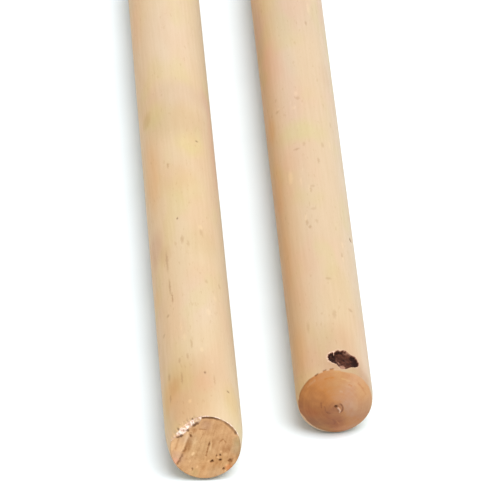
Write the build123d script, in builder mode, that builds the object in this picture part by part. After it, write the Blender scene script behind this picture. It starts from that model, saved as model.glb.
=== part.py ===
from build123d import *

import os
from math import cos, radians, sin, sqrt

# A pair of claves: two solid turned hardwood sticks, struck one upon the other.
#
# Each stick is a single piece of wood with a domed end, which keeps the mark of the lathe's centre, and a
# sawn end, where the side curves in a little.  The pair lies on a level surface, side by side and head to
# tail: the resting clave points its sawn end along -Y, and the striking clave points its domed end so.
#
# Frame: +Z up, the sticks along Y, the origin under the middle of the pair, on the surface it lies on.

# Driving dimensions, in millimetres and degrees.
DIAMETER = 25.0
LENGTH = 325.0
GAP = 18.3  # clear space between the two sticks
STAGGER = 20.9  # how much further along +Y the striking clave lies

# The sawn end.
SAWN_RADIUS = 11.4
SAWN_EASE = 12.0  # length over which the side curves in to the sawn face

# The domed end.
RIM_RADIUS = 12.1
RIM_EASE = 5.0  # length over which the side curves in to the dome's rim
DOME_HEIGHT = 4.9

# The mark of the lathe's centre on the crown of the dome: a parted-off stub in a shallow ring.
RING_RADIUS = 1.6
RING_DEPTH = 0.3
STUB_RADIUS = 0.7
STUB_TOP_RADIUS = 0.45
STUB_PROUD = 0.3

# A splinter has come off the resting clave's sawn rim, as deep as one of the growth rings.
CHIP_START, CHIP_END = -62.0, -8.0  # round the stick, from the top towards +X
CHIP_RING_RADIUS = 8.8
CHIP_LENGTH = 0.8  # along the stick, at the rim

# A dead knot has left a shallow hollow in the striking clave, beside the dome.  Its outline is four
# overlapping lobes, each with its place round the stick and away from the rim, and its half sizes so.
KNOT_ANGLE = 15.0  # round the stick, from the top towards +X
KNOT_FROM_RIM = 6.0
KNOT_DEPTH = 1.1
KNOT_LOBES = (
    (0.8, 1.2, 4.7, 4.2),
    (-3.3, 0.6, 2.1, 2.3),
    (2.4, -1.0, 2.6, 2.8),
    (-0.1, -3.2, 2.2, 2.3),
)

# The chip and the hollow are cut by tools that reach this far past the stick.
OVERCUT = 2.0

radius = DIAMETER / 2
axis_x = (DIAMETER + GAP) / 2
near_y = -(LENGTH + STAGGER) / 2
crown = LENGTH - STUB_PROUD
rim = crown - DOME_HEIGHT
dome_radius = (RIM_RADIUS**2 + DOME_HEIGHT**2) / (2 * DOME_HEIGHT)

# A bench plane has X along the stick, from its sawn end to its domed end, and Y out from its axis.
resting_bench = Plane(origin=(-axis_x, near_y, radius), x_dir=(0, 1, 0), z_dir=(1, 0, 0))
striking_bench = Plane(
    origin=(axis_x, near_y + STAGGER + LENGTH, radius), x_dir=(0, -1, 0), z_dir=(-1, 0, 0)
)


def on_dome(distance):
    """The point of the dome's outline at a distance from the stick's axis."""
    return (crown - dome_radius + sqrt(dome_radius**2 - distance**2), distance)


def turned_stick(bench):
    """One stick, turned about the bench plane's X axis."""
    ring_edge = on_dome(RING_RADIUS)
    with BuildPart() as stick:
        with BuildSketch(bench):
            with BuildLine():
                Line((0, 0), (0, SAWN_RADIUS))
                TangentArc((SAWN_EASE, radius), (0, SAWN_RADIUS), tangent=(-1, 0))
                Line((SAWN_EASE, radius), (rim - RIM_EASE, radius))
                TangentArc((rim - RIM_EASE, radius), (rim, RIM_RADIUS), tangent=(1, 0))
                ThreePointArc((rim, RIM_RADIUS), on_dome(RIM_RADIUS / 2), ring_edge)
                Polyline(
                    ring_edge,
                    (ring_edge[0] - RING_DEPTH, (RING_RADIUS + STUB_RADIUS) / 2),
                    (crown, STUB_RADIUS),
                    (LENGTH, STUB_TOP_RADIUS),
                    (LENGTH, 0),
                    (0, 0),
                )
            make_face()
        revolve(axis=Axis(bench.origin, bench.x_dir))
    return stick.part


def outward(angle):
    """The direction straight out of a stick's side, at an angle from the top towards +X."""
    return Vector(sin(radians(angle)), 0, cos(radians(angle)))


# The splinter's scar slopes back from the growth ring to the rim.
resting_axis = Axis(resting_bench.origin, resting_bench.x_dir)
chip_slope = CHIP_LENGTH / (SAWN_RADIUS - CHIP_RING_RADIUS)
chip_reach = radius + OVERCUT
with BuildPart() as chip:
    with BuildSketch(resting_bench):
        with BuildLine():
            Polyline(
                (-OVERCUT, CHIP_RING_RADIUS),
                (0, CHIP_RING_RADIUS),
                (chip_slope * (chip_reach - CHIP_RING_RADIUS), chip_reach),
                (-OVERCUT, chip_reach),
                (-OVERCUT, CHIP_RING_RADIUS),
            )
        make_face()
    revolve(axis=resting_axis, revolution_arc=CHIP_END - CHIP_START)

# The resting clave, with the splinter gone from its sawn rim.
with BuildPart() as resting_clave:
    add(turned_stick(resting_bench))
    add(chip.part.rotate(resting_axis, CHIP_START), mode=Mode.SUBTRACT)
resting_clave.part.label = "resting_clave"

# The hollow follows the curve of the stick's side, so its depth is even.
rim_y = striking_bench.origin.Y - rim
knot_middle = Vector(axis_x, rim_y + KNOT_FROM_RIM, radius)
knot_plane = Plane(
    origin=knot_middle, x_dir=outward(KNOT_ANGLE + 90), z_dir=outward(KNOT_ANGLE)
)
with BuildPart() as knot_hollow:
    with BuildSketch(knot_plane):
        for across, away_from_rim, half_width, half_length in KNOT_LOBES:
            with Locations((across, away_from_rim)):
                Ellipse(half_width, half_length)
    extrude(amount=radius + OVERCUT)
    with BuildSketch(Plane(origin=(axis_x, rim_y, radius), z_dir=(0, 1, 0))):
        Circle(radius + OVERCUT)
        Circle(radius - KNOT_DEPTH, mode=Mode.SUBTRACT)
    extrude(amount=2 * KNOT_FROM_RIM + OVERCUT, mode=Mode.INTERSECT)

# The striking clave, with the hollow of its knot.
with BuildPart() as striking_clave:
    add(turned_stick(striking_bench))
    add(knot_hollow.part, mode=Mode.SUBTRACT)
striking_clave.part.label = "striking_clave"

os.makedirs("parts", exist_ok=True)
for clave in (resting_clave, striking_clave):
    export_step(clave.part, f"parts/{clave.part.label}.step")
    box = clave.part.bounding_box()
    print(clave.part.label, "volume", round(clave.part.volume), "from", box.min, "to", box.max)
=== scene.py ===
from math import cos, pi, radians, sin

import bpy
import numpy as np
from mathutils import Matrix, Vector


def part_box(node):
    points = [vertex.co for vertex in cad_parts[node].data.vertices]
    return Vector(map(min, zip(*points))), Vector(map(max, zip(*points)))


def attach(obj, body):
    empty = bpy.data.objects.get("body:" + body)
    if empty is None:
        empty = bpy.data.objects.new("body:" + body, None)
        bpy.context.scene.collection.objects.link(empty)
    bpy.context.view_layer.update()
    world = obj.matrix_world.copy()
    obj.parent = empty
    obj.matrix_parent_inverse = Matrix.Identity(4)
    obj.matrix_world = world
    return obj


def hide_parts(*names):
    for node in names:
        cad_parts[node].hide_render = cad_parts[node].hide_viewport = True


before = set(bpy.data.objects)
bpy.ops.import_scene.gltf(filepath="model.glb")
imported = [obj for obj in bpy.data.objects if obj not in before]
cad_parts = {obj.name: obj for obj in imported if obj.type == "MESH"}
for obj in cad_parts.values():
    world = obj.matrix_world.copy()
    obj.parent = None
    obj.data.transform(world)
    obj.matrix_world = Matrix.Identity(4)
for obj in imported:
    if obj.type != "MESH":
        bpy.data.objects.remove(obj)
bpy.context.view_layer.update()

# Two wooden claves on a pale floor.  Each is one closed mesh, made in the stick's own coordinates, in
# millimetres: s along the stick from its sawn end, an angle round it from the top towards +X, and a
# radius from its axis.  The ends' marks are real shape with some painted light and shade on them, the
# wood's own pattern is procedural, and the sides' flanks carry painted light and shade.

MM = 0.001

# Sizes of a stick, as the CAD makes it.
SAWN_RADIUS, SAWN_EASE = 11.4, 12.0
RIM_RADIUS, RIM_EASE, DOME_HEIGHT = 12.1, 5.0, 4.9
STUB_PROUD = 0.3

# The mesh.  Its points are closer together beside each stick's fine angle.
SEGMENTS, FEWEST_SEGMENTS = 320, 20
FINE = 0.45  # how much closer
RIM_BEVEL = 0.22
BEVEL_TURNS, BEVEL_SPLIT = range(0, 91, 18), 50  # degrees; up to the split, the bevel counts as the face
NICKED_REACH, EASE_STEP, SHAFT_STEP = 3.0, 0.8, 6.0
DENT_REACH, DENT_RINGS = 1.4, 9
RINGS_BY_RIM = (0.6, 0.45, 0.3, 0.18, 0.09)
CLOSEST_RINGS = 0.07
CENTRE_RADIUS, CENTRE_STEP, SMALLEST_RING = 2.6, 0.13, 0.12  # of the lathe centre's mark

FACE, SIDE, DOME = range(3)


# -------------------------------- noise and shaping, on arrays

def hashed(x, y, z, seed):
    """A repeatable value from -1 to 1 for each point of a whole-number grid."""
    h = (x * 374761393 + y * 668265263 + z * 2147483647 + seed * 1274126177) & 0xFFFFFFFF
    h = ((h ^ (h >> 13)) * 1274126177) & 0xFFFFFFFF
    h = ((h ^ (h >> 16)) * 2246822519) & 0xFFFFFFFF
    return ((h ^ (h >> 15)) & 0xFFFF) / 32767.5 - 1.0


def noise(x, y, z=0.0, seed=0):
    """Smooth noise from -1 to 1, about one unit from bump to bump."""
    x, y, z = np.broadcast_arrays(np.asarray(x, float), y, z)
    cells = [np.floor(v).astype(np.int64) for v in (x, y, z)]
    parts = [v - c for v, c in zip((x, y, z), cells)]
    fx, fy, fz = (p * p * (3 - 2 * p) for p in parts)
    total = 0.0
    for i in (0, 1):
        for j in (0, 1):
            for k in (0, 1):
                weight = (fx if i else 1 - fx) * (fy if j else 1 - fy) * (fz if k else 1 - fz)
                total = total + weight * hashed(cells[0] + i, cells[1] + j, cells[2] + k, seed)
    return total


def rough(x, y, z=0.0, seed=0, octaves=3):
    """Noise with finer and finer detail."""
    return sum(0.5**n * noise(x * 2**n, y * 2**n, z * 2**n, seed + 17 * n) for n in range(octaves))


def ramp(value, low, high):
    """0 at low, 1 at high, smooth between them and level past them.  low may be the greater."""
    t = np.clip((value - low) / (high - low), 0, 1)
    return t * t * (3 - 2 * t)


def window(value, low, high, soft):
    """1 between low and high, and 0 outside."""
    return ramp(value, low - soft, low + soft) * ramp(value, high + soft, high - soft)


def near(distance, outer, inner):
    """1 within the inner distance, and 0 past the outer one."""
    return ramp(distance, outer, inner)


def to_line(x, z, points):
    """The distance of each point to a line of several stretches."""
    best = np.full(np.shape(x), np.inf)
    for (ax, az), (bx, bz) in zip(points, points[1:]):
        dx, dz = bx - ax, bz - az
        t = np.clip(((x - ax) * dx + (z - az) * dz) / (dx * dx + dz * dz), 0, 1)
        best = np.minimum(best, np.hypot(x - ax - t * dx, z - az - t * dz))
    return best


def to_outline(x, z, points):
    """The distance of each point to a closed outline, negative inside it."""
    closed = points + points[:1]
    inside = np.zeros(np.shape(x), bool)
    for (ax, az), (bx, bz) in zip(closed, closed[1:]):
        if az != bz:
            inside ^= ((z < az) != (z < bz)) & (x < ax + (z - az) * (bx - ax) / (bz - az))
    return np.where(inside, -1, 1) * to_line(x, z, closed)


# -------------------------------- a stick and its rings of points

class Stick:
    """A clave's place, read from its CAD node, and the turned shape that its mesh starts from."""

    def __init__(self, node, sawn_end, fine_angle):
        low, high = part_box(node)
        self.node = node
        self.axis_x = (low.x + high.x) / 2
        self.radius = (high.z - low.z) / 2 / MM
        self.length = (high.y - low.y) / MM
        self.start_y = low.y if sawn_end == "near" else high.y
        self.direction = 1 if sawn_end == "near" else -1
        self.fine_angle = fine_angle
        self.crown = self.length - STUB_PROUD
        self.rim = self.crown - DOME_HEIGHT
        self.dome_radius = (RIM_RADIUS**2 + DOME_HEIGHT**2) / (2 * DOME_HEIGHT)

    def side(self, s):
        """The turned side's radius at s."""
        sawn = np.clip(1 - s / SAWN_EASE, 0, 1)
        domed = np.clip((s - self.rim + RIM_EASE) / RIM_EASE, 0, 1)
        return self.radius - (self.radius - SAWN_RADIUS) * sawn**2 - (self.radius - RIM_RADIUS) * domed**2

    def dome(self, r):
        """Where the dome is at a distance from the axis."""
        return self.crown - self.dome_radius + np.sqrt(self.dome_radius**2 - r**2)

    def angles(self, count):
        """The angles of a ring's points."""
        turn = 2 * pi * np.arange(count) / count
        return (self.fine_angle + turn - FINE * np.sin(turn) + pi) % (2 * pi) - pi


def segments_at(r):
    """Fewer points round the small rings near an end's middle."""
    count = SEGMENTS
    while count > FEWEST_SEGMENTS and r < SAWN_RADIUS * 0.5 * count / SEGMENTS:
        count //= 2
    return count


def spaced(start, end, step):
    """Evenly spaced values from start up to but not including end."""
    return list(np.linspace(start, end, max(1, round(abs(end - start) / step)), endpoint=False))


def sawn_rings(step):
    """The rings of the sawn face, out to its bevelled rim."""
    rings = [(0.0, r, FACE) for r in spaced(step, SAWN_RADIUS - RIM_BEVEL, step)]
    for turn in BEVEL_TURNS:
        back, out = RIM_BEVEL * (1 - cos(radians(turn))), RIM_BEVEL * (1 - sin(radians(turn)))
        rings.append((back, SAWN_RADIUS - out, FACE if turn < BEVEL_SPLIT else SIDE))
    return rings


def side_rings(stick, sawn_step, close, dents):
    """The rings of the side, close together by the sawn rim, by the dents, and over the close stretch."""
    low, high, step = close
    stations = spaced(RIM_BEVEL + 0.1, NICKED_REACH, sawn_step) + spaced(NICKED_REACH, SAWN_EASE, EASE_STEP)
    stations += spaced(SAWN_EASE, low, SHAFT_STEP) + spaced(low, high, step)
    for s, *_ in dents:
        stations += list(s + np.linspace(-DENT_REACH, DENT_REACH, DENT_RINGS))
    stations = sorted(stations + [stick.rim - gap for gap in RINGS_BY_RIM])
    kept = stations[:1]
    for s in stations[1:]:
        if s - kept[-1] > CLOSEST_RINGS:
            kept.append(s)
    return [(s, float(stick.side(s)), SIDE) for s in kept]


def dome_rings(stick, step):
    """The rings of the dome, closest together round its rim and the lathe centre's mark."""
    radii = [RIM_RADIUS, RIM_RADIUS - 0.1, RIM_RADIUS - 0.25]
    radii += spaced(RIM_RADIUS - 0.4, CENTRE_RADIUS, step)
    radii += spaced(CENTRE_RADIUS, SMALLEST_RING, CENTRE_STEP) + [SMALLEST_RING]
    return [(float(stick.dome(r)), r, DOME) for r in radii]


class Skin:
    """A stick's points while its marks are made.  s, r and angle are where a point was turned, x and z are
    its place across the stick, and new_s and new_r are where the marks have moved it to.  torn, grime, knot
    and end are its shares, from 0 to 1, of fresh torn wood (which also carries a painted highlight on the
    sawn rim), of grime and painted shade, of dead knot and of cut end grain, and tone runs from dark to
    light over the end grain, with some painted light and shade in it."""

    def __init__(self, stick, rings):
        self.stick = stick
        self.counts = [SEGMENTS if zone == SIDE else segments_at(r) for _, r, zone in rings]
        self.s, self.r, zone = (np.repeat(np.array(v), self.counts) for v in zip(*rings))
        self.angle = np.concatenate([stick.angles(count) for count in self.counts])
        self.degrees = np.degrees(self.angle)
        self.face, self.side, self.dome = zone == FACE, zone == SIDE, zone == DOME
        self.x, self.z = self.r * np.sin(self.angle), self.r * np.cos(self.angle)
        self.new_s, self.new_r = self.s.copy(), self.r.copy()
        self.torn, self.grime, self.knot, self.end = (np.zeros(len(self.s)) for _ in range(4))
        self.tone = np.full(len(self.s), 0.5)

    def add(self, kind, share):
        """Covers the points with a kind of mark, where it isn't covered more already."""
        setattr(self, kind, np.maximum(getattr(self, kind), share))


def joined(starts, counts, first_centre, last_centre):
    """The faces that join each ring to the next, and close both ends at their centres."""
    faces = [(first_centre, i, (i + 1) % counts[0]) for i in range(counts[0])]
    for a, b, ca, cb in zip(starts, starts[1:], counts, counts[1:]):
        if ca == cb:
            faces += [(a + i, b + i, b + (i + 1) % cb, a + (i + 1) % ca) for i in range(ca)]
        elif cb == 2 * ca:
            for i in range(ca):
                j, k, m = b + 2 * i, b + 2 * i + 1, b + (2 * i + 2) % cb
                faces += [(a + i, j, k), (a + i, k, a + (i + 1) % ca), (a + (i + 1) % ca, k, m)]
        else:
            for i in range(cb):
                j, k, m = a + 2 * i, a + 2 * i + 1, a + (2 * i + 2) % ca
                faces += [(b + i, k, j), (b + i, b + (i + 1) % cb, k), (b + (i + 1) % cb, m, k)]
    last = starts[-1]
    faces += [(last_centre, last + (i + 1) % counts[-1], last + i) for i in range(counts[-1])]
    return faces


def build(skin, name):
    """Makes a stick's mesh from its marked skin."""
    stick, counts = skin.stick, skin.counts
    starts = [sum(counts[:n]) for n in range(len(counts))]
    local = np.stack([skin.new_r * np.sin(skin.angle), skin.new_s,
                      skin.new_r * np.cos(skin.angle)], 1)
    marks = np.stack([skin.torn, skin.grime, skin.knot, skin.end, skin.tone], 1)
    marks = np.clip(marks, 0, 1)
    faces = joined(starts, counts, len(local), len(local) + 1)
    if stick.direction < 0:
        faces = [f[::-1] for f in faces]
    local, marks = (np.vstack([v, v[: counts[0]].mean(0), v[starts[-1] :].mean(0)]) for v in (local, marks))

    world = np.empty_like(local)
    world[:, 0] = stick.axis_x + local[:, 0] * MM
    world[:, 1] = stick.start_y + stick.direction * local[:, 1] * MM
    world[:, 2] = (stick.radius + local[:, 2]) * MM
    mesh = bpy.data.meshes.new(name)
    mesh.from_pydata(world.tolist(), [], faces)
    mesh.shade_smooth()
    place = mesh.attributes.new("stick", "FLOAT_VECTOR", "POINT")
    place.data.foreach_set("vector", local.astype(np.float32).ravel())
    colours = mesh.attributes.new("marks", "FLOAT_COLOR", "POINT")
    colours.data.foreach_set("color", marks[:, :4].astype(np.float32).ravel())
    tone = mesh.attributes.new("tone", "FLOAT", "POINT")
    tone.data.foreach_set("value", marks[:, 4].astype(np.float32))
    piece = bpy.data.objects.new(name, mesh)
    bpy.context.scene.collection.objects.link(piece)
    return piece


# -------------------------------- marks that can be on either stick

SAW_ANGLE = radians(15)  # of the saw's lines, from upright


def uneven_side(skin, seed):
    """The turned side isn't quite round or straight."""
    up, across = np.cos(skin.angle) * 0.8, np.sin(skin.angle) * 0.8
    uneven = noise(up, skin.s / 34, across, seed) * 0.03 - 0.03
    skin.new_r += np.where(skin.side, uneven, 0)


def saw_lines(skin, seed):
    """The saw's lines over the sawn face, and small nicks and grime at its rim."""
    x, z, face = skin.x, skin.z, skin.face
    across = x * cos(SAW_ANGLE) - z * sin(SAW_ANGLE)
    along = x * sin(SAW_ANGLE) + z * cos(SAW_ANGLE)
    broad = rough(across * 0.9, along * 0.1, seed=seed)
    fine = rough(across * 3.2, along * 0.25, seed=seed + 5)
    grain = rough(x * 2.6, z * 2.6, seed=seed + 9)
    depth = broad * 0.06 + fine * 0.02 + grain * 0.012 + 0.07
    skin.tone += np.where(face, broad * 0.13 + fine * 0.06 + grain * 0.05, 0)
    skin.new_s += np.where(face, np.maximum(0, depth), 0)
    nick = np.clip(rough(skin.angle * 14, skin.s * 1.5, seed=seed + 3), 0, 1)
    skin.new_r -= np.where(skin.side, nick * 0.2 * ramp(skin.s, 0.8, 0.0), 0)
    skin.add("grime", np.where(face & (skin.r > SAWN_RADIUS - 0.4), 0.25, 0))


def turned_dome(skin, seed):
    """Shallow rings that the turning left on the dome, broken here and there, and the dome's tones, which
    hold painted light on the upper right, and darker end grain with painted shade on the lower left.
    """
    x, z, r, angle = skin.x, skin.z, skin.r, skin.angle
    turned = rough(r * 1.1, 0.37 + angle * 0.25, seed=seed + 21) * 0.012
    scored = np.clip(noise(r * 2.6, angle * 0.6, seed=seed + 22) - 0.25, 0, 1) * ramp(r, 2.0, 4.0)
    low = np.minimum(0, turned - 0.015 - 0.02 * scored) * ramp(r, RIM_RADIUS, RIM_RADIUS - 0.6)
    skin.new_s += np.where(skin.dome, low, 0)

    # Painted light and shade: lighter towards the upper right, and darker end grain with painted shade on the
    # lower left.
    lit_towards_upper_right = x * 0.8 + z * 0.45
    stain_and_shade_below = ramp(z, -3.0, -8.0) * ramp(x, 6.0, 0.0)
    pale_right = ramp(x - 2.2 + 0.3 * z, -0.2, 0.35) * ramp(z, -4.2, -3.0) * ramp(z, 5.0, 0.0)
    dark_middle = near(np.hypot(x + 0.5, (z + 2.0) * 0.9), 8.0, 1.0)
    pale_left, pale_foot = ramp(x, -7.5, -10.0), ramp(z, -6.5, -9.5)
    broad = rough(x * 0.25, z * 0.25, seed=seed + 23)
    ringed = rough(r * 1.3, angle * 0.5, seed=seed + 25)
    blotches = rough(x * 0.8, z * 0.8, seed=seed + 26)
    tone = 0.5 + 0.048 * lit_towards_upper_right - 0.13 * stain_and_shade_below + 0.11 * pale_right - 0.17 * dark_middle
    tone = tone + 0.16 * pale_left + 0.2 * pale_foot
    tone = tone + 0.07 * broad - 0.1 * scored + 0.04 * ringed + 0.07 * blotches
    skin.tone = np.where(skin.dome, tone, skin.tone)


def side_over_rim(skin, seed):
    """The side's paler wood comes round on to the dome here and there."""
    inset = 0.15 + 0.1 * noise(skin.angle * 9, 0.3, seed=seed + 24)
    inset = inset + 0.5 * window(skin.degrees, -170, -113, 6) + 0.3 * window(skin.degrees, 4, 27, 12)
    end = ramp(RIM_RADIUS - skin.r, inset - 0.08, inset + 0.12)
    skin.end = np.where(skin.dome, end, skin.end)


def centre_mark(skin):
    """The lathe centre's mark on the dome: a small hole darkened with painted shade, a torn stub beside it,
    an arc outside both, and a painted shadow on the ring's upper left.
    """
    x, z, degrees, dome = skin.x, skin.z, skin.degrees, skin.dome
    ring = np.hypot(x - 0.1, z)
    cup = near(ring, 2.1, 0.9)
    hole = near(np.hypot(x + 0.05, z - 0.7) + 0.1 * noise(x * 2, z * 2, seed=5), 0.72, 0.2)
    arc = near(np.abs(ring - 2.05), 0.42, 0.08) * window(degrees, 35, 135, 18)
    shadow = near(np.abs(ring - 2.3), 0.5, 0.1) * window(degrees, -75, -15, 15)
    crest = near(to_line(x, z, ((0.5, 0.35), (1.0, -0.1), (1.25, -0.75), (1.1, -1.3))), 0.42, 0.08)
    skin.new_s += np.where(dome, -0.14 * cup - 0.5 * hole - 0.16 * arc + 0.36 * crest, 0)
    skin.new_s = np.minimum(skin.new_s, skin.stick.length)
    skin.tone += np.where(dome, -0.14 * cup - 0.45 * arc - 0.12 * shadow + 0.4 * crest, 0)
    # The hole's dark is painted shade.
    skin.add("grime", np.where(dome, np.maximum(0.8 * hole, 0.25 * arc), 0))
    skin.add("torn", np.where(dome, 0.28 * crest, 0))


def shared_marks(skin, seed):
    """What both sticks have: end grain on both ends, a turned side, saw lines, and a turned dome."""
    skin.add("end", np.where(skin.face | skin.dome, 1, 0))
    uneven_side(skin, seed)
    saw_lines(skin, seed)
    turned_dome(skin, seed)
    side_over_rim(skin, seed)
    centre_mark(skin)


def sink(skin, share, inwards, mark):
    """Sinks part of an end, and changes its tone and grime.  mark ends with (depth, change of tone, grime),
    and inwards is the way into the wood, along s."""
    depth, tone, grime = mark[-3:]
    skin.new_s += inwards * depth * share
    skin.tone += tone * share
    skin.add("grime", grime * share)


def draw_lines(skin, where, inwards, table, seed):
    """Scratches and ridges over an end, with ragged edges."""
    ragged = rough(skin.x * 1.8, skin.z * 1.8, seed=seed) * 0.1
    for mark in table:
        points, half_width = mark[:2]
        away = to_line(skin.x, skin.z, points) + ragged
        sink(skin, np.where(where, near(away, half_width, half_width * 0.2), 0), inwards, mark)


def dent_side(skin, table):
    """Small dents in the side."""
    for middle, degrees, half_length, half_width, depth, grime in table:
        sideways = skin.stick.radius * (skin.angle - radians(degrees))
        away = np.hypot((skin.new_s - middle) / half_length, sideways / half_width)
        share = np.where(skin.side, near(away, 1.0, 0.3), 0)
        skin.new_r -= depth * share
        skin.add("grime", grime * share)


# -------------------------------- the resting clave's marks

LEAN = 1.3  # how far back the top of its sawn face leans
SAW_GROOVE = (  # x, z along it
    (-4.7, 5.5), (-4.9, 4.2), (-5.9, 1.9), (-6.5, -0.3), (-7.1, -1.4), (-7.5, -2.5), (-8.0, -3.7),
    (-8.3, -4.8), (-9.1, -5.8),
)
GROOVE_STRENGTH = ((-6, -5, -4.5, -2, -0.5, 1.5, 4.8, 5.5), (0.2, 0.7, 1, 1, 0.75, 0.6, 0.5, 0.9))  # by z
FACE_LINES = (
    # the line over the face, half width, depth, change of tone, grime
    (((1.35, 2.0), (1.2, 0.9), (0.8, -0.6), (0.5, -2.0), (0.2, -3.1)), 0.36, 0.14, -0.5, 0.12),
    (((1.3, 1.5), (1.15, 0.7)), 0.34, 0.14, -0.3, 0.45),
    (((2.0, 1.6), (1.75, 0.4), (1.4, -1.1)), 0.3, -0.05, 0.35, 0),
    (((-8.4, 3.6), (-9.1, 1.6), (-9.6, -0.3)), 0.5, 0.12, -0.4, 0),
    (((-1.9, 6.7), (0.1, 6.6)), 0.35, 0.08, -0.4, 0),
    (((-0.7, 5.0), (-1.4, 3.2), (-1.9, 1.7)), 0.25, 0.05, -0.25, 0),
    (((4.4, 1.5), (5.0, 2.3), (5.8, 2.8), (6.6, 1.5)), 0.35, 0.08, -0.35, 0),
    (((3.0, 6.0), (2.4, 3.4), (2.2, 1.0)), 0.3, 0.05, -0.16, 0),
    (((-2.4, -0.8), (-3.3, -4.0)), 0.35, 0.05, -0.16, 0),
    (((7.6, -6.4), (8.6, -4.6)), 0.5, 0.12, -0.3, 0),
)
FACE_PITS = (
    # x, z, radius, depth, change of tone, grime
    (3.4, -3.2, 0.36, 0.25, -0.3, 0.6),
    (4.8, -3.0, 0.45, 0.4, -0.4, 0.85),
    (4.7, -4.9, 0.55, 0.5, -0.5, 1.0),
    (2.1, -5.2, 0.6, 0.5, -0.5, 1.0),
    (7.9, -5.1, 0.85, 0.3, -0.6, 0.5),
    (5.9, -8.0, 0.6, 0.4, -0.6, 0.75),
    (-4.2, -7.9, 0.7, 0.25, -0.5, 0.3),
    (-4.6, 4.2, 0.65, 0.3, -0.6, 0.5),
    (-9.0, -5.9, 0.5, 0.25, -0.6, 0.35),
    (-4.0, -2.2, 0.75, -0.05, 0.55, 0),
    (0.7, -5.2, 0.7, -0.05, 0.3, 0),
    (4.0, -3.8, 0.6, -0.08, 0.5, 0),
    (3.5, -5.9, 0.5, 0.1, -0.2, 0),
    (-5.0, -4.8, 0.6, 0, 0.3, 0),
    (-2.7, -7.1, 0.7, 0, 0.3, 0),
    (5.0, -1.6, 0.7, 0, 0.4, 0),
    (6.4, -2.6, 0.8, 0, 0.25, 0),
    (6.6, -6.6, 0.75, 0, 0.4, 0),
    (6.6, -8.8, 0.5, 0, 0.5, 0),
    (-3.6, 6.3, 1.3, 0.05, -0.35, 0),
    (6.4, -0.6, 2.4, 0, -0.18, 0),
    (0.4, -8.6, 2.2, 0, 0.14, 0),
)
# The splinter's scar on the sawn rim: angles in degrees, and the radius that it reaches in to.
SCAR_EDGE = (
    (-90, -80, -75, -70, -66, -61, -52, -42, -32, -22, -15, -10, -7, -4),
    (12.2, 11.5, 10.9, 10.3, 9.6, 8.9, 8.5, 8.3, 8.6, 8.9, 9.2, 9.5, 10.4, 11.6),
)
# Where the scar's torn fibres give way to a bevel of the side's own wood.
TORN_EDGE = (
    (-90, -80, -72, -64, -45, -30, -22, -15, -9, -4),
    (12.5, 12.0, 11.2, 10.6, 10.4, 10.65, 10.6, 11.1, 11.4, 11.9),
)
SCAR_REACH = 4.0  # how far the scar runs along the side
SCAR_SPECKS = ((-52, 10.9), (-21.5, 11.0))  # degrees and radius
RESTING_DENTS = (
    # s, degrees, half length, half width, depth, grime
    (123.1, -15.0, 1.0, 0.45, 0.25, 0.6),
    (175.0, 28.5, 0.8, 0.8, 0.2, 0.6),
    (26.2, 5.5, 1.1, 0.5, 0.25, 0.6),
    (18.9, 42.0, 0.9, 0.8, 0.2, 0.6),
    (10.4, -21.4, 1.1, 0.6, -0.08, 0.0),
)


def saw_groove(skin):
    """The saw's deep groove, darkened with painted shade.  A painted highlight lies on its left wall, with
    paler wood beyond that, and painted shade lies to its right.
    """
    x, z, face = skin.x, skin.z, skin.face
    groove_x, groove_z = zip(*SAW_GROOVE[::-1])
    left = np.interp(z, groove_z, groove_x) - x
    groove = near(to_line(x, z, SAW_GROOVE) + rough(x * 1.6, z * 1.6, seed=70) * 0.3, 0.5, 0.1)
    groove = groove * np.interp(z, *GROOVE_STRENGTH)
    groove = groove * np.clip(0.85 + 0.4 * noise(z * 1.1, 0.7, seed=76), 0.5, 1)
    low = ramp(z, 1.8, -1.2)
    pale_left = 0.34 * ramp(left, 0.3, 1.0)
    # A painted highlight on the groove's lit left wall, and painted shade to its right.
    lit_wall_highlight = 0.22 * window(left, 0.45, 1.1, 0.2) * window(z, -1.5, 4.6, 1.0)
    shaded_right_side = 0.42 * window(left, -1.7, 0.1, 0.7) * window(z, -2.0, 4.4, 1.4)
    dark_top = 0.1 * ramp(x, 0.0, 4.0) * ramp(z, 5.0, 2.0)
    dark_corner = 0.12 * ramp(x, -8.0, -9.5) * ramp(z, 1.0, -2.0)
    tone = pale_left + lit_wall_highlight - shaded_right_side - dark_top - dark_corner - 0.42 * groove
    skin.tone += np.where(face, tone, 0)
    # The groove's dark, deepest low down, is painted shade.
    skin.add("grime", np.where(face, groove * (0.05 + 0.5 * low), 0))
    depth = 0.3 * groove * (0.5 + 0.5 * low) - 0.06 * ramp(left, 0.2, 0.8)
    skin.new_s += np.where(face, depth, 0)


def face_pits(skin):
    """Small pits, and spots that are only paler or darker."""
    x, z = skin.x, skin.z
    ragged = rough(x * 1.9, z * 1.9, seed=71) * 0.26
    for mark in FACE_PITS:
        middle_x, middle_z, radius = mark[:3]
        away = np.hypot(x - middle_x, z - middle_z) + ragged
        sink(skin, np.where(skin.face, near(away, radius, radius * 0.25), 0), 1, mark)


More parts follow.
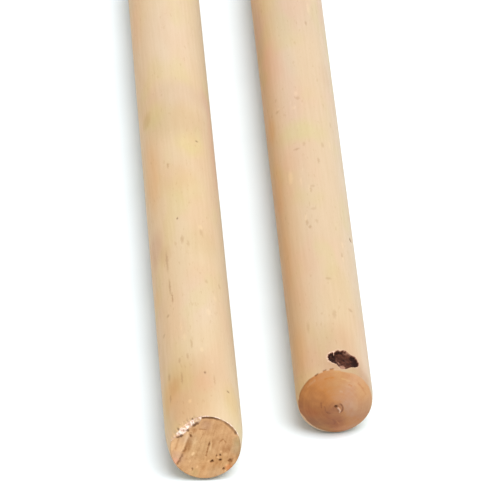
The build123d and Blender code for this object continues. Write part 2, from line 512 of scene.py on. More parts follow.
def broken_rim(skin):
    """A dark line of painted shade in a shallow groove inside the rim, where the saw broke through, and a
    painted highlight on the rim's edge outside it, in the torn wood's colour.
    """
    angle, degrees, r = skin.angle, skin.degrees, skin.r
    away = np.abs(r - np.interp(degrees, (-10, 0, 22, 45, 80), (10.85, 10.85, 11.0, 10.8, 10.95)))
    line = near(away + 0.12 * noise(angle * 16, 0.4, seed=74), 0.62, 0.25) * window(degrees, -6, 66, 2)
    fading = 0.95 - 0.35 * ramp(degrees, 16, 30) + 0.5 * noise(angle * 9, 0.5, seed=72)
    line = line * np.clip(fading, 0.35, 1)
    # The dark line is painted shade in its shallow groove.
    skin.new_s += np.where(skin.face, line * 0.3, 0)
    skin.add("grime", np.where(skin.face, line * 0.95, 0))
    # A painted highlight along the rim's outer edge, given the torn wood's colour.
    bright = near(np.abs(r - SAWN_RADIUS), 0.3, 0.1) * window(degrees, -6, 82, 4) * ramp(skin.s, 0.5, 0.2)
    skin.add("torn", bright * np.clip(0.6 + 0.6 * noise(angle * 13, 0.1, seed=75), 0, 1))


def scar_place(skin):
    """How far each point is inside the splinter's scar, and past its torn fibres."""
    ring = np.where(skin.face, np.minimum(skin.r, SAWN_RADIUS), SAWN_RADIUS)
    edge = np.interp(skin.degrees, *SCAR_EDGE) + 0.24 * rough(skin.angle * 13, 0.7, seed=61)
    past = ring - np.interp(skin.degrees, *TORN_EDGE) + 0.24 * rough(skin.angle * 18, 0.3, seed=67)
    return ring - edge, past


def cut_scar(skin, inside, past):
    """Cuts the scar back, with its torn fibres standing up in it."""
    x, z = skin.x, skin.z
    fibres = rough(x * 1.3 + 3, z * 1.3, seed=62) * 0.22 + noise(x * 3.2, z * 3.2, seed=63) * 0.07
    deep = ramp(inside, 0.0, 0.35) * 0.14 + inside * 0.13 + fibres * ramp(inside, 0.1, 0.8)
    deep = np.maximum(0, np.where(inside > 0, deep, 0)) + 0.9 * np.maximum(0, past)
    along = np.clip(1 - skin.s / SCAR_REACH, 0, 1)
    skin.new_s += np.where(skin.face, deep, 0) + np.where(skin.side, deep * along, 0)


def tear_scar(skin, inside, past):
    """Shows fresh torn wood in the scar, and less end grain where its bevel or its healed part begins."""
    angle, s, face = skin.angle, skin.s, skin.face
    ragged = 0.05 + 0.4 * noise(angle * 15, 0.2, seed=64) + 0.25 * noise(angle * 40, 0.9, seed=65)
    healed = window(skin.degrees, -21, -9, 1.5) * window(skin.r, 9.5, 10.8, 0.25)
    torn = np.where(face, ramp(inside, 0.05, 0.4), ramp(inside, 0.3, 1.0) * ramp(s, ragged + 0.2, ragged))
    torn = torn * ramp(past, 0.15, -0.1) * (1 - 0.75 * healed)
    patchy = np.clip(0.75 + 0.8 * rough(skin.x * 0.9, skin.z * 0.9, seed=68), 0.15, 1)
    skin.add("torn", torn * patchy)
    bare = np.maximum(ramp(past, -0.1, 0.15), 0.7 * healed * ramp(inside, 0, 0.3))
    skin.end = skin.end * np.where(face, 1 - bare, 1)


def darken_scar(skin, inside):
    """Paints shadow along the scar's step, darkest in three stretches, adds two dark specks, and leaves
    little dark inside the scar.
    """
    degrees, face = skin.degrees, skin.face
    step = near(np.abs(inside - 0.1), 0.7, 0.2)
    spots = window(degrees, -67, -56, 2) + window(degrees, -43, -38, 2) + window(degrees, -27, -13, 3)
    skin.grime = np.where(face & (inside > 0.5), skin.grime * 0.3, skin.grime)
    # Painted shadow along the scar's step.
    skin.add("grime", np.where(face, step * np.clip(spots * 0.85 + 0.16, 0, 0.95), 0))
    for middle, radius in SCAR_SPECKS:
        away = np.hypot((degrees - middle) * 0.19, skin.r - radius)
        skin.add("grime", np.where(face, 0.8 * near(away, 0.5, 0.15), 0))


def splinter_scar(skin):
    """The scar that a splinter left, in as far as a growth ring."""
    inside, past = scar_place(skin)
    cut_scar(skin, inside, past)
    tear_scar(skin, inside, past)
    darken_scar(skin, inside)


def leaning_face(skin):
    """The sawn face leans back towards its top."""
    back = LEAN * (skin.z + SAWN_RADIUS) / (2 * SAWN_RADIUS)
    eased = 1 - skin.s / SAWN_EASE
    skin.new_s += np.where(skin.s < SAWN_EASE, back * eased, 0)


def resting_skin(stick):
    """The resting clave: its sawn end is the nearer one, so its points are closest together there."""
    close = (stick.rim - 6, stick.rim - 0.6, 0.9)
    side = side_rings(stick, 0.2, close, RESTING_DENTS)
    skin = Skin(stick, sawn_rings(0.2) + side + dome_rings(stick, 0.4))
    shared_marks(skin, seed=40)
    saw_groove(skin)
    draw_lines(skin, skin.face, 1, FACE_LINES, seed=73)
    face_pits(skin)
    broken_rim(skin)
    splinter_scar(skin)
    leaning_face(skin)
    dent_side(skin, RESTING_DENTS)
    return skin


# -------------------------------- the striking clave's marks

DOME_LINES = (
    # the line over the dome, half width, depth, change of tone, grime
    (((-3.1, -1.5), (-2.0, -1.8)), 0.35, 0.08, -0.5, 0.15),
    (((-4.85, 2.0), (-4.7, 0.2)), 0.3, 0.05, -0.35, 0),
    (((-3.65, 0.6), (-3.35, -1.3)), 0.28, 0.05, -0.25, 0),
    (((-1.1, -4.4), (-0.2, -5.6), (-0.4, -6.6)), 0.3, 0.05, -0.35, 0),
    (((0.1, -4.9), (1.0, -6.4)), 0.25, -0.03, 0.3, 0),
    (((1.9, 9.5), (3.2, 9.1), (4.6, 8.5)), 0.28, -0.05, 0.35, 0),
    (((4.2, 7.6), (5.2, 7.1)), 0.3, 0.05, -0.3, 0),
    (((6.3, 7.3), (7.7, 5.7), (8.9, 3.6)), 0.3, -0.06, 0.4, 0),
    (((7.3, 7.4), (8.8, 5.4), (9.8, 3.0)), 0.3, 0.06, -0.25, 0),
    (((-9.0, 6.2), (-7.9, 7.6), (-6.6, 8.8)), 0.4, -0.04, 0.35, 0),
    (((-3.6, 9.4), (-2.0, 9.9), (-0.6, 9.9)), 0.35, 0.04, -0.22, 0),
    (((1.4, 6.0), (2.0, 5.8)), 0.5, 0, 0.25, 0),
)
RIM_NICKS = ((-31.0, 4.4, 0.0), (-17.0, 3.6, 0.35), (-5.5, 4.2, 0.5))  # degrees, half spread, how far in
STRIKING_DENTS = ((230.0, 62.5, 1.4, 1.1, 0.35, 1.0),)  # as in RESTING_DENTS
KNOT_ANGLE, KNOT_FROM_RIM, KNOT_DEPTH = radians(15), 6.0, 1.1
KNOT_OUTLINE = (  # across the stick, and towards its sawn end, from the knot's middle
    (-5.2, 1.1), (-5.0, 2.7), (-4.2, 3.6), (-3.5, 3.7), (-3.3, 2.0), (-3.0, 3.8), (-2.1, 4.9),
    (-1.5, 5.4), (-1.1, 4.4), (0.0, 5.3), (1.0, 5.3), (2.0, 4.3), (3.1, 3.9), (4.2, 4.0), (5.0, 2.6),
    (5.6, 1.4), (5.1, -1.1), (3.7, -3.0), (2.2, -3.6), (1.3, -4.7), (0.2, -5.6), (-1.4, -5.5),
    (-2.3, -4.3), (-2.7, -3.3), (-3.8, -2.5), (-5.0, -1.1),
)


def rim_nicks(skin):
    """Nicks along the dome's rim, where the end grain shows further out, and a dark edge on its left."""
    angle, degrees, side, dome = skin.angle, skin.degrees, skin.side, skin.dome
    past = np.where(side, skin.stick.rim - skin.s, np.where(dome, skin.r - RIM_RADIUS, 99))
    for middle, spread, reach in RIM_NICKS:
        away = np.abs(degrees - middle) + 0.8 * noise(angle * 40, 0.6, seed=92)
        share = near(away, spread * 1.1, spread * 0.4)
        line = np.abs(past - reach + 0.16 * noise(angle * 30, 0.2, seed=91))
        cut = share * near(line, 0.46 * share + 0.01, 0.1 * share)
        skin.new_r -= 0.2 * cut
        skin.add("grime", 0.58 * cut)
        over_rim = np.where(side, ramp(past, reach + 0.1, reach - 0.1), 0)
        skin.add("end", share * np.where(dome, ramp(past, -1.2, -0.9), over_rim))
    edge = window(degrees, -80, -42, 6) * near(np.abs(RIM_RADIUS - skin.r - 0.25), 0.35, 0.1) * dome
    skin.add("grime", 0.3 * edge)


def hollow_knot(skin, close, across, away, inside):
    """Sinks the knot's ragged floor."""
    floor = 0.85 + 0.3 * rough(across * 0.8, away * 0.8, seed=97)
    floor = floor + 0.15 * noise(across * 3, away * 3, seed=98)
    deep = KNOT_DEPTH * ramp(inside, 0.08, -0.4) * np.clip(floor, 0.35, 1.0)
    skin.new_r -= np.where(close, deep, 0)


def dead_wood(across, away, inside):
    """How dead and black the knot is: blackest on its right, and paler where it has a crust or crumbs."""
    pale = np.hypot((across + 0.5) / 1.5, (away + 3.5) / 1.2) + 0.3 * rough(across, away, seed=99)
    streak = near(to_line(across, away, ((-1.4, -2.0), (-2.6, -0.3), (-2.2, 1.6))), 0.5, 0.1)
    crust = near(to_line(across, away, ((0.3, 4.9), (1.6, 4.6), (2.4, 3.8))), 0.7, 0.15)
    crumbs = ramp(rough(across * 1.1, away * 0.8, seed=89), 0.1, 0.5) * ramp(across, 0.5, -1.5)
    well_in = ramp(inside, -0.2, -0.65)
    shade = 0.86 - (0.5 * near(pale, 1.0, 0.3) + 0.2 * streak + 0.2 * crumbs) * well_in - 0.34 * crust
    shade = shade + 0.2 * ramp(across, 1.5, 4.0) + 0.14 * ramp(across, -2.4, -3.4)
    shade = shade + 0.12 * window(inside, -0.7, -0.1, 0.2) + 0.12 * noise(across * 1.4, away * 1.4, seed=88)
    return ramp(inside, 0.12, -0.15) * np.clip(shade, 0.3, 1)


def torn_edge(across, away, inside):
    """How torn the knot's edge is: mostly on its left, with a flap by its far corner."""
    left = ramp(across, 0.5, -2.5) * ramp(away, -3.6, -2.4)
    broken = np.clip(0.5 + noise(across * 2, away * 2, seed=94), 0, 1)
    torn = near(np.abs(inside - 0.3), 0.42, 0.08) * (0.1 + 0.4 * left * broken)
    flap = np.hypot((across + 3.3) / 0.75, (away - 3.3) / 1.5)
    return np.maximum(torn, 0.75 * near(flap, 1.0, 0.4))


def dead_knot(skin):
    """The dead knot: a ragged hollow with a torn pale edge."""
    across = skin.stick.radius * (skin.angle - KNOT_ANGLE)
    away = skin.stick.rim - skin.s - KNOT_FROM_RIM
    inside = to_outline(across, away, KNOT_OUTLINE)
    inside = inside + rough(across * 1.5, away * 1.1, seed=95) * 0.17
    inside = inside + noise(across * 4.2, away * 2.6, seed=96) * 0.1
    close = skin.side & (inside < 3)
    hollow_knot(skin, close, across, away, inside)
    skin.add("knot", np.where(close, dead_wood(across, away, inside), 0))
    skin.add("torn", np.where(close, torn_edge(across, away, inside), 0))


def striking_skin(stick):
    """The striking clave: its dome is the nearer end, so its points are closest together there."""
    close = (stick.rim - 12.6, stick.rim - 0.6, 0.2)
    side = side_rings(stick, 0.5, close, STRIKING_DENTS)
    skin = Skin(stick, sawn_rings(0.45) + side + dome_rings(stick, 0.22))
    shared_marks(skin, seed=90)
    draw_lines(skin, skin.dome, -1, DOME_LINES, seed=93)
    rim_nicks(skin)
    dead_knot(skin)
    dent_side(skin, STRIKING_DENTS)
    return skin


# -------------------------------- materials

# An end's painted tones run from dark to light, as (tone, colour).
FACE_TONES = ((0.0, (0.345, 0.15, 0.05)), (0.5, (0.545, 0.3, 0.137)), (1.0, (0.71, 0.432, 0.223)))
DOME_TONES = (
    (0.0, (0.265, 0.096, 0.041)), (0.45, (0.42, 0.173, 0.061)), (0.75, (0.42, 0.205, 0.103)),
    (1.0, (0.47, 0.26, 0.134)),
)
TORN_TONES = (
    (0.0, (0.5, 0.3, 0.19)), (0.4, (0.76, 0.53, 0.44)), (0.7, (0.93, 0.74, 0.62)), (1.0, (1.0, 0.88, 0.74)),
)
# The colour of grime, and of painted shade.
GRIME_AND_SHADE = (0.085, 0.028, 0.006)
KNOT_EDGE, BLACK_WOOD = (0.34, 0.175, 0.115), (0.018, 0.004, 0.002)
DEAD_WOOD = (0.040, 0.011, 0.005), (0.085, 0.026, 0.013)
DARK_FLECK, LIGHT_FLECK, PORE = (0.52, 0.36, 0.22), (1.14, 1.16, 1.14), (0.62, 0.5, 0.4)  # tints
MIDDLE = (100, 200)  # where, along a stick, its sawn half gives way to its domed half


class Nodes:
    """A material, with short ways to add its shader nodes."""

    def __init__(self, name):
        self.material = bpy.data.materials.new(name)
        self.material.use_nodes = True
        self.tree = self.material.node_tree
        self.tree.nodes.clear()

    def add(self, kind, inputs=None, **settings):
        node = self.tree.nodes.new("ShaderNode" + kind)
        for key, value in settings.items():
            setattr(node, key, value)
        for key, value in (inputs or {}).items():
            self.set(node.inputs[key], value)
        return node

    def set(self, socket, value):
        if isinstance(value, bpy.types.NodeSocket):
            self.tree.links.new(value, socket)
        elif isinstance(value, tuple) and socket.type == "RGBA":
            socket.default_value = value[:3] + (1,)
        else:
            socket.default_value = value

    def math(self, operation, a, b=0.0, clamp=False):
        return self.add("Math", {0: a, 1: b}, operation=operation, use_clamp=clamp).outputs[0]

    def vector(self, operation, a, b=(0, 0, 0)):
        node = self.add("VectorMath", {0: a, 1: b}, operation=operation)
        return node.outputs["Value" if operation == "LENGTH" else "Vector"]

    def noise(self, place, detail=3.0, roughness=0.55, w=0.0):
        inputs = {"Vector": place, "W": w, "Scale": 1.0, "Detail": detail, "Roughness": roughness}
        return self.add("TexNoise", inputs, noise_dimensions="4D").outputs["Fac"]

    def wander(self, place):
        """A vector that wanders round (0.5, 0.5, 0.5)."""
        return self.add("TexNoise", {"Vector": place, "Scale": 1.0, "Detail": 2.0}).outputs["Color"]

    def ramp(self, value, low, high, to_low=0.0, to_high=1.0):
        inputs = {"Value": value, "From Min": low, "From Max": high, "To Min": to_low, "To Max": to_high}
        return self.add("MapRange", inputs, interpolation_type="SMOOTHSTEP").outputs["Result"]

    def mix(self, share, a, b, blend="MIX"):
        node = self.add("Mix", data_type="RGBA", blend_type=blend)
        for key, value in (("Factor_Float", share), ("A_Color", a), ("B_Color", b)):
            self.set(next(i for i in node.inputs if i.identifier == key), value)
        return next(o for o in node.outputs if o.identifier == "Result_Color")

    def tint(self, share, colour, tint):
        """The colour, multiplied by a tint over a share of it."""
        return self.mix(share, colour, self.mix(1.0, colour, tint, "MULTIPLY"))

    def tones(self, value, stops):
        """A colour picked by a value between evenly blended stops."""
        colour = stops[0][1]
        for (low, _), (high, tint) in zip(stops, stops[1:]):
            share = self.add("MapRange", {"Value": value, "From Min": low, "From Max": high})
            colour = self.mix(share.outputs["Result"], colour, tint)
        return colour

    def around(self, place, middle, half_sizes):
        """How far from a middle, where 1 is an oval's edge.  A half size of 0 leaves its axis out."""
        sizes = tuple(1 / half if half else 0 for half in half_sizes)
        away = self.vector("SUBTRACT", place, middle)
        return self.vector("LENGTH", self.vector("MULTIPLY", away, sizes))

    def finish(self, colour, roughness, specular, **inputs):
        """Ends the material with its surface."""
        inputs.update({"Base Color": colour, "Roughness": roughness, "Specular IOR Level": specular})
        self.add("OutputMaterial", {"Surface": self.add("BsdfPrincipled", inputs).outputs[0]})
        return self.material


class WoodNodes(Nodes):
    """A stick's material.  Its mesh gives each point's place in the stick and the shares of its marks."""

    def __init__(self, name, seed):
        super().__init__(name)
        self.seed = seed
        self.place = self.add("Attribute", attribute_name="stick").outputs["Vector"]
        self.x, self.s, self.z = self.add("SeparateXYZ", {0: self.place}).outputs
        marks = self.add("Attribute", attribute_name="marks")
        self.torn, self.grime, self.knot = self.add("SeparateColor", {0: marks.outputs["Color"]}).outputs
        self.end = marks.outputs["Alpha"]
        self.tone = self.add("Attribute", attribute_name="tone").outputs["Fac"]

    def scaled(self, across, along):
        """The place, scaled across the stick and along it."""
        return self.vector("MULTIPLY", self.place, (across, along, across))

    def grain(self, across, along, number, **settings):
        """Noise with its own number for each use, so that no two patterns are alike."""
        return self.noise(self.scaled(across, along), w=self.seed + number, **settings)


def on_side(s, degrees, radius=12.5):
    """A point of a stick's side, in the stick's own coordinates."""
    return (radius * sin(radians(degrees)), s, radius * cos(radians(degrees)))


def side_grain(n, tints, flank_light):
    """Broad soft drifts of tint, faint fibres, fine flecks and dashes, and painted light and shade on the
    flanks: a warmer, deeper tint on the shaded left and a cooler one on the lit right.
    """
    pale, pink, yellow = tints
    colour = n.mix(n.ramp(n.grain(0.075, 0.03, 0, detail=1.5), 0.42, 0.62), pale, pink)
    colour = n.mix(n.ramp(n.grain(0.085, 0.034, 7, detail=1.5), 0.5, 0.66), colour, yellow)
    fibres = n.grain(1.0, 0.045, 1, detail=4, roughness=0.6)
    fine = n.grain(3.2, 0.45, 2, detail=3, roughness=0.65)
    light_fibre = n.mix(1.0, colour, (1.015, 1.015, 1.015), "MULTIPLY")
    dark_fibre = n.mix(1.0, colour, (0.975, 0.965, 0.95), "MULTIPLY")
    colour = n.mix(n.ramp(fibres, 0.3, 0.72), light_fibre, dark_fibre)
    colour = n.tint(n.ramp(fine, 0.28, 0.46, 0.3, 0.0), colour, (0.88, 0.8, 0.72))
    colour = n.tint(n.ramp(fine, 0.56, 0.74, 0.0, 0.3), colour, (1.07, 1.09, 1.1))
    crowd = n.ramp(n.grain(0.12, 0.03, 9, detail=1), 0.4, 0.6, 0.0, 0.04)
    dashes = n.math("ADD", n.grain(1.25, 0.3, 8, detail=2, roughness=0.5), crowd)
    colour = n.tint(n.ramp(dashes, 0.65, 0.74, 0.0, 0.3), colour, (0.74, 0.62, 0.5))
    light = n.grain(1.05, 0.26, 10, detail=2, roughness=0.5)
    colour = n.tint(n.ramp(light, 0.67, 0.74, 0.0, 0.5), colour, (1.1, 1.12, 1.12))
    # Painted light and shade: the shaded left flank warmer and deeper, the lit right flank cooler.
    colour = n.tint(n.ramp(n.x, -1.9, -12.5), colour, flank_light[0])
    colour = n.tint(n.ramp(n.x, 6.5, 12.5), colour, flank_light[1])
    return colour, fibres, fine


def stained(n, colour, stains):
    """Soft local tints with wandering edges."""
    wander = n.vector("MULTIPLY", n.wander(n.scaled(0.5, 0.2)), (1.6, 3.2, 1.6))
    moved = n.vector("ADD", n.place, n.vector("SUBTRACT", wander, (0.8, 1.6, 0.8)))
    for along, degrees, half_length, half_width, tint, share in stains:
        away = n.around(moved, on_side(along, degrees), (half_width, half_length, half_width))
        colour = n.tint(n.ramp(away, 1.0, 0.25, 0, share), colour, tint)
    return colour


def flecked(n, colour, flecks):
    """Small dark flecks, and then small light ones."""
    moved = n.vector("ADD", n.place, n.vector("SUBTRACT", n.wander(n.scaled(1.6, 0.8)), (0.5, 0.5, 0.5)))
    for sign, tint in ((1, DARK_FLECK), (-1, LIGHT_FLECK)):
        covered = 0.0
        for along, degrees, half_length, half_width, share in flecks:
            if share * sign > 0:
                away = n.around(moved, on_side(along, degrees), (half_width, half_length, half_width))
                covered = n.math("MAXIMUM", covered, n.ramp(away, 1.0, 0.3, 0, abs(share)))
        colour = n.tint(covered, colour, tint)
    return colour


def end_grain(n, pores, stains):
    """The painted tone as a colour of the sawn or the domed end, with blotches or rings, pores and stains."""
    is_dome = n.ramp(n.s, *MIDDLE)
    out = n.vector("LENGTH", n.vector("MULTIPLY", n.place, (1, 0, 1)))
    turned = {0: n.math("MULTIPLY", out, 2.2), 1: n.math("DIVIDE", n.x, out), 2: n.math("DIVIDE", n.z, out)}
    rings = n.noise(n.add("CombineXYZ", turned).outputs[0], detail=2, w=n.seed + 11)
    blotches = n.grain(0.45, 0.1, 4, detail=3)
    face_tone = n.math("ADD", n.tone, n.ramp(blotches, 0.3, 0.7, -0.11, 0.11))
    dome_tone = n.math("ADD", n.tone, n.ramp(rings, 0.3, 0.7, -0.035, 0.035))
    colour = n.mix(is_dome, n.tones(face_tone, FACE_TONES), n.tones(dome_tone, DOME_TONES))
    strength = n.ramp(n.s, *MIDDLE, 0.2, 0.1)
    colour = n.tint(n.ramp(pores, 0.42, 0.7, 0.0, strength), colour, PORE)
    for middle_x, middle_z, size, tint in stains:
        away = n.around(n.place, (middle_x, 0, middle_z), (size, 0, size))
        colour = n.tint(n.ramp(away, 1.0, 0.2), colour, tint)
    return colour


def marked(n, colour):
    """Torn fresh wood and painted highlights, grime and painted shade, and the dead knot, over everything
    else.
    """
    splinters = n.grain(1.5, 1.5, 5, detail=4, roughness=0.6)
    fresh = n.tones(n.ramp(splinters, 0.3, 0.7), TORN_TONES)
    colour = n.mix(n.math("MULTIPLY", n.torn, 0.95), colour, fresh)
    colour = n.mix(n.math("MULTIPLY", n.grime, 0.88), colour, GRIME_AND_SHADE)
    dead = n.mix(n.ramp(n.grain(0.9, 0.9, 6), 0.35, 0.65), *DEAD_WOOD)
    dead = n.mix(n.ramp(n.knot, 0.85, 1.0), dead, BLACK_WOOD)
    dead = n.mix(n.ramp(n.knot, 0.35, 0.8), KNOT_EDGE, dead)
    return n.mix(n.ramp(n.knot, 0.05, 0.25), colour, dead)


def wood(name, seed, tints, flank_light, stains, flecks, end_stains):
    """Pale turned wood.  tints are (pale, pink, yellow) colours of the side, and the flank tints paint
    the shade of its left flank and the light of its right one.  The tables below say what stains, flecks
    and end_stains are."""
    n = WoodNodes(name, seed)
    colour, fibres, fine = side_grain(n, tints, flank_light)
    colour = flecked(n, stained(n, colour, stains), flecks)
    pores = n.grain(3.4, 0.6, 3, detail=3, roughness=0.65)
    colour = marked(n, n.mix(n.end, colour, end_grain(n, pores, end_stains)))

    end_height = n.math("MULTIPLY", n.math("MULTIPLY", pores, n.end), 0.4)
    height = n.math("ADD", n.math("MULTIPLY", fine, 0.6), end_height)
    bump = n.add("Bump", {"Height": height, "Strength": 0.35, "Distance": 0.08 * MM})
    roughness = n.math("ADD", n.ramp(fibres, 0.3, 0.7, 0.5, 0.62), n.math("MULTIPLY", n.end, 0.1), clamp=True)
    broken = n.math("MULTIPLY", n.math("MAXIMUM", n.torn, n.knot), 0.25)
    roughness = n.math("ADD", roughness, broken, clamp=True)
    return n.finish(colour, roughness, specular=0.18, Normal=bump.outputs[0])


# Tints that a stain multiplies the wood by.
OCHRE, GREEN, ROSE, PALE = (0.97, 0.98, 0.82), (0.96, 1.05, 0.88), (1.01, 0.94, 0.96), (1.01, 1.03, 1.13)
BROWN, ORANGE, TAN, GREY = (0.8, 0.66, 0.5), (1.03, 0.9, 0.74), (0.92, 0.83, 0.72), (0.94, 0.92, 0.98)

# Soft stains, as (s, degrees, half length, half width, tint, share).  On the striking clave, here and for
# its flecks, s is counted from the crown of its dome instead of from its sawn end.
RESTING_STAINS = (
    (188, -5, 17, 15.0, (0.9, 0.9, 0.84), 0.9), (150, -10, 14, 10.0, (0.99, 0.92, 0.9), 0.9),
    (209, 62, 12, 5.5, (0.97, 0.88, 0.92), 0.8), (196, -42, 13, 7.0, (0.97, 1.03, 0.89), 0.9),
    (172, 18, 12, 8.0, (0.99, 1.03, 0.87), 0.8), (180, 70, 44, 4.5, (1.03, 0.93, 0.95), 0.8),
    (262, -62, 26, 5.0, (1.04, 0.97, 0.93), 0.9), (30, 12, 14, 10.0, (0.97, 0.94, 0.94), 0.8),
    (158, -56, 34, 5.5, ORANGE, 0.8), (206, 0, 13, 16.0, GREY, 0.9), (246, -8, 38, 16.0, PALE, 0.9),
    (70, 6, 24, 9.0, PALE, 0.8), (143, 5, 15, 9.0, OCHRE, 0.6), (16, -22, 30, 13.0, TAN, 1.0),
    (21, -58, 14, 6.5, ORANGE, 0.9), (14, 50, 15, 6.0, OCHRE, 0.9), (24, -44, 8, 3.5, BROWN, 0.3),
    (196, -55, 7, 3.2, BROWN, 0.5), (113, -60, 15, 5.5, (0.9, 0.82, 0.84), 0.9),
    (104, -40, 8, 3.5, BROWN, 0.25), (20, 2, 9, 5.0, ROSE, 0.9),
    (108, 20, 14, 9.0, (0.95, 0.95, 0.88), 0.8), (84, -70, 8, 4.0, ORANGE, 0.6),
)
STRIKING_STAINS = (
    (157, -12, 11, 11.0, GREEN, 0.9), (168, -64, 12, 3.5, ORANGE, 0.8), (130, -62, 30, 3.5, ORANGE, 0.6),
    (85, -62, 30, 4.0, ORANGE, 0.5), (16, 5, 24, 12.0, (0.92, 0.87, 0.8), 1.0),
    (44, 25, 30, 12.0, (0.99, 0.98, 0.91), 0.9), (6, 25, 12, 14.0, (0.86, 0.8, 0.76), 1.0),
    (25, -58, 20, 5.5, ORANGE, 0.6), (14, -40, 12, 6.0, ROSE, 0.8),
    (208, -46, 30, 7.5, (1.02, 0.95, 0.97), 0.9), (235, -66, 26, 4.0, (0.94, 0.92, 1.05), 0.8),
    (192, -30, 62, 8.0, (1.0, 1.04, 1.14), 0.8), (4, 52, 8, 9.0, (0.92, 0.86, 0.82), 0.9),
    (145, -52, 16, 5.5, (1.01, 1.02, 1.06), 0.9), (186, -2, 12, 9.0, (1.01, 0.99, 0.98), 0.8),
    (240, 0, 26, 14.0, (0.95, 0.96, 1.02), 0.8), (200, 48, 12, 5.0, (0.98, 0.94, 0.93), 0.8),
    (62, 22, 12, 6.0, (0.98, 0.98, 0.93), 0.7),
)

# Small flecks, as (s, degrees, half length, half width, share).  They are dark where the share is above 0,
# and light where it is below.
RESTING_FLECKS = (
    (98.9, -38.1, 9.0, 0.8, 0.35), (83.0, -37.0, 7.0, 0.55, 0.45), (75.5, -34.2, 5.0, 0.5, 0.5),
    (158.4, -22.0, 2.6, 0.6, 0.4), (109.2, -10.2, 3.8, 0.8, 0.35), (106.2, -1.4, 3.0, 0.6, 0.25),
    (66.8, -45.2, 1.4, 0.8, 0.4), (58.0, -58.0, 1.4, 0.8, 0.4), (36.4, -31.6, 2.4, 0.7, 0.35),
    (31.6, -54.0, 3.2, 1.0, 0.3), (25.6, -30.2, 5.0, 0.6, 0.35), (44.0, -10.5, 3.8, 0.6, 0.3),
    (37.0, -18.2, 2.6, 0.6, 0.3), (84.1, 45.0, 2.4, 0.6, 0.3), (83.0, 21.5, 1.8, 0.7, 0.25),
    (19.0, -55.4, 3.0, 0.7, 0.35), (22.2, 19.0, 4.0, 0.5, 0.25), (114.0, 20.5, 2.6, 0.8, 0.25),
    (2.6, -9.4, 1.6, 0.8, 0.4), (10.4, -21.4, 1.6, 0.9, -0.9), (117.5, 20.0, 2.0, 1.3, -0.5),
    (49.0, -20.0, 3.0, 0.9, -0.5), (40.0, 4.0, 2.2, 0.8, -0.6), (64.0, 20.0, 3.0, 1.2, -0.5),
    (56.0, -24.0, 3.4, 0.7, -0.4), (74.0, 34.0, 2.4, 0.9, -0.4),
)
STRIKING_FLECKS = (
    (175.5, -44.0, 1.4, 1.2, 0.3), (178.8, -6.5, 1.6, 0.8, 0.28), (183.4, -44.8, 1.6, 0.7, 0.22),
    (145.4, -18.3, 1.0, 1.6, 0.35), (182.2, -9.0, 2.2, 0.9, -0.6), (173.0, -14.5, 1.8, 1.2, -0.6),
    (176.5, -41.5, 1.4, 0.9, -0.5), (244.0, 30.0, 6.0, 0.8, -0.5), (78.2, 34.4, 2.0, 0.6, 0.35),
    (119.8, -0.6, 1.2, 1.2, 0.25), (117.4, -3.6, 2.4, 0.6, 0.3), (97.2, -15.6, 2.8, 0.7, 0.35),
    (93.8, -12.0, 1.6, 0.7, 0.35), (148.5, 24.2, 2.6, 0.6, 0.25), (166.3, 45.6, 2.6, 0.6, 0.25),
    (137.0, 14.0, 2.8, 0.6, 0.3), (60.5, 6.4, 1.2, 1.4, 0.3), (44.1, 37.2, 1.4, 1.2, 0.35),
    (38.4, 8.8, 4.0, 0.9, 0.25), (34.0, -34.2, 5.0, 0.8, 0.2), (97.0, -0.3, 2.0, 0.7, 0.25),
    (105.2, -3.0, 1.2, 1.4, 0.2), (147.8, -5.6, 2.2, 0.6, 0.25), (232.0, 22.0, 2.4, 0.6, 0.35),
    (129.0, -33.8, 6.0, 1.2, -0.7), (124.2, -17.2, 3.6, 0.6, -0.5), (151.0, 37.8, 4.4, 0.6, -0.5),
    (100.0, -16.8, 3.6, 0.6, -0.6), (85.2, 38.0, 3.2, 0.7, -0.6), (118.5, -5.5, 3.4, 0.6, -0.5),
    (76.0, 36.0, 2.4, 0.6, -0.5),
)

# Tints of the end that the photo shows, as (x, z, half size, tint).
FACE_STAINS = (
    (10.5, -1.0, 3.5, (0.84, 0.96, 1.06)), (-2.0, -0.5, 7.0, (1.03, 1.1, 1.13)),
    (-4.5, 3.2, 3.2, (1.05, 1.13, 1.25)), (0.3, 8.2, 3.0, (0.86, 0.84, 0.92)),
    (-9.5, -3.5, 4.0, (0.9, 0.9, 1.05)), (1.0, -7.0, 6.0, (0.97, 0.93, 0.85)),
    (5.5, -5.0, 4.5, (0.97, 0.95, 0.88)), (10.5, 2.0, 2.6, (0.84, 0.97, 0.99)),
    (-6.8, 3.5, 3.0, (0.88, 0.88, 0.92)), (3.0, -9.5, 4.0, (1.0, 1.1, 1.25)),
    (7.4, -7.6, 1.7, (1.13, 0.86, 0.72)), (-9.8, -4.6, 1.8, (1.08, 0.92, 0.94)),
    (-3.5, -9.2, 2.2, (0.94, 1.03, 0.98)),
)
DOME_STAINS = (
    (-6.5, 4.5, 9.0, (1.0, 0.98, 0.8)), (0.0, 10.0, 7.0, (0.98, 0.97, 0.76)),
    (3.0, 4.0, 6.5, (1.02, 1.13, 1.33)), (1.5, -3.0, 7.5, (0.92, 1.0, 1.16)),
    (9.5, -3.0, 6.0, (0.9, 0.87, 0.85)), (-5.5, -9.0, 7.0, (1.06, 1.25, 1.28)),
    (2.0, -11.0, 5.0, (1.1, 1.16, 1.45)), (8.5, 4.5, 5.5, (1.0, 0.96, 0.83)),
    (-0.5, -6.0, 5.5, (0.97, 0.86, 0.84)), (-7.0, 3.0, 3.8, (1.06, 1.1, 1.19)),
    (-4.5, -3.0, 4.5, (0.95, 0.9, 0.86)), (-8.0, -2.5, 3.5, (1.06, 0.98, 0.93)),
)


# -------------------------------- the two claves

def from_sawn_end(stick, places):
    """The places, with s counted from the sawn end instead of from the crown of the dome."""
    return [(stick.length - along, *rest) for along, *rest in places]


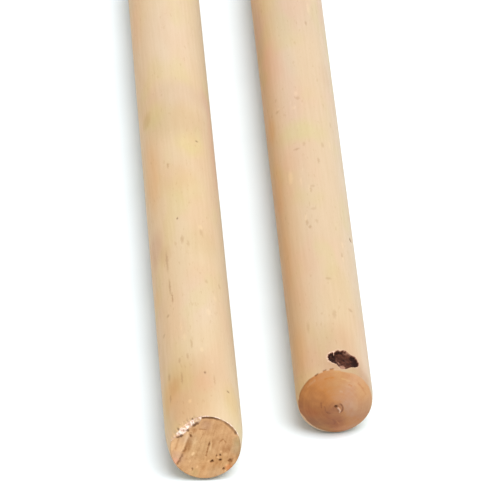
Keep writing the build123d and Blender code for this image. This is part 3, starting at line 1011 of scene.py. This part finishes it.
def resting_wood():
    tints = (0.572, 0.436, 0.279), (0.572, 0.416, 0.263), (0.559, 0.434, 0.252)
    # Painted light and shade on the flanks: warm for the shaded left, cool for the lit right.
    flank_light = (1.06, 0.94, 0.82), (1.04, 1.09, 1.17)
    return wood("resting_wood", 3.0, tints, flank_light, RESTING_STAINS, RESTING_FLECKS, FACE_STAINS)


def striking_wood(stick):
    tints = (0.549, 0.415, 0.277), (0.557, 0.397, 0.267), (0.536, 0.416, 0.251)
    # Painted light and shade on the flanks: warm for the shaded left, cool for the lit right.
    flank_light = (1.14, 0.98, 0.8), (0.97, 1.0, 1.05)
    stains, flecks = from_sawn_end(stick, STRIKING_STAINS), from_sawn_end(stick, STRIKING_FLECKS)
    return wood("striking_wood", 41.0, tints, flank_light, stains, flecks, DOME_STAINS)


def add_stick(body, stick, skin, material):
    """Makes a clave's mesh, which stands in for its CAD body."""
    piece = build(skin, body + "_stick")
    piece.data.materials.append(material)
    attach(piece, body)
    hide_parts(stick.node)


resting = Stick("resting_clave", "near", radians(-35))
add_stick("resting", resting, resting_skin(resting), resting_wood())
striking = Stick("striking_clave", "far", radians(15))
add_stick("striking", striking, striking_skin(striking), striking_wood(striking))


# -------------------------------- floor, light and camera

FLOOR_SIZE = 24.0
FLOOR_TINTS = (0.8, 0.872, 0.912), (0.82, 0.892, 0.932)
SKY_STRENGTH = 0.68
SUN_ENERGY, SUN_ANGLE, TO_SUN = 2.97, radians(50), Vector((0.25, -0.31, 0.92))

# The camera looks along the sticks from far off, well above them.
CAMERA_TARGET = Vector((-0.6, -51.9, 12.5)) * MM
CAMERA_TURN, CAMERA_DROP, CAMERA_DISTANCE = radians(3.21), radians(31.4), 2.41
CAMERA_LENS, CAMERA_SENSOR, CAMERA_CLIP_END = 518.8, 36, 200


def floor_paper():
    n = Nodes("floor_paper")
    place = n.vector("MULTIPLY", n.add("TexCoord").outputs["Object"], (30, 30, 30))
    tone = n.ramp(n.noise(place, detail=2), 0.3, 0.7)
    return n.finish(n.mix(tone, *FLOOR_TINTS), roughness=0.9, specular=0.1)


def add_floor():
    bpy.ops.mesh.primitive_plane_add(size=FLOOR_SIZE)
    floor = bpy.context.object
    floor.name = "floor"
    floor.data.materials.append(floor_paper())


def add_light():
    world = bpy.data.worlds.new("studio")
    bpy.context.scene.world = world
    world.use_nodes = True
    background = world.node_tree.nodes["Background"].inputs
    background["Color"].default_value = (1, 1, 1, 1)
    background["Strength"].default_value = SKY_STRENGTH

    key = bpy.data.lights.new("key", "SUN")
    key.energy = SUN_ENERGY
    key.angle = SUN_ANGLE
    key_object = bpy.data.objects.new("key", key)
    key_object.rotation_euler = TO_SUN.to_track_quat("Z", "Y").to_euler()
    bpy.context.scene.collection.objects.link(key_object)


def add_camera():
    camera = bpy.data.cameras.new("camera")
    camera.sensor_width = CAMERA_SENSOR
    camera.lens = CAMERA_LENS
    camera.clip_end = CAMERA_CLIP_END
    camera_object = bpy.data.objects.new("camera", camera)
    level = cos(CAMERA_DROP)
    forward = Vector((sin(CAMERA_TURN) * level, cos(CAMERA_TURN) * level, -sin(CAMERA_DROP)))
    camera_object.location = CAMERA_TARGET - forward * CAMERA_DISTANCE
    camera_object.rotation_euler = forward.to_track_quat("-Z", "Y").to_euler()
    bpy.context.scene.collection.objects.link(camera_object)
    bpy.context.scene.camera = camera_object


add_floor()
add_light()
add_camera()
bpy.context.scene.view_settings.view_transform = "Standard"
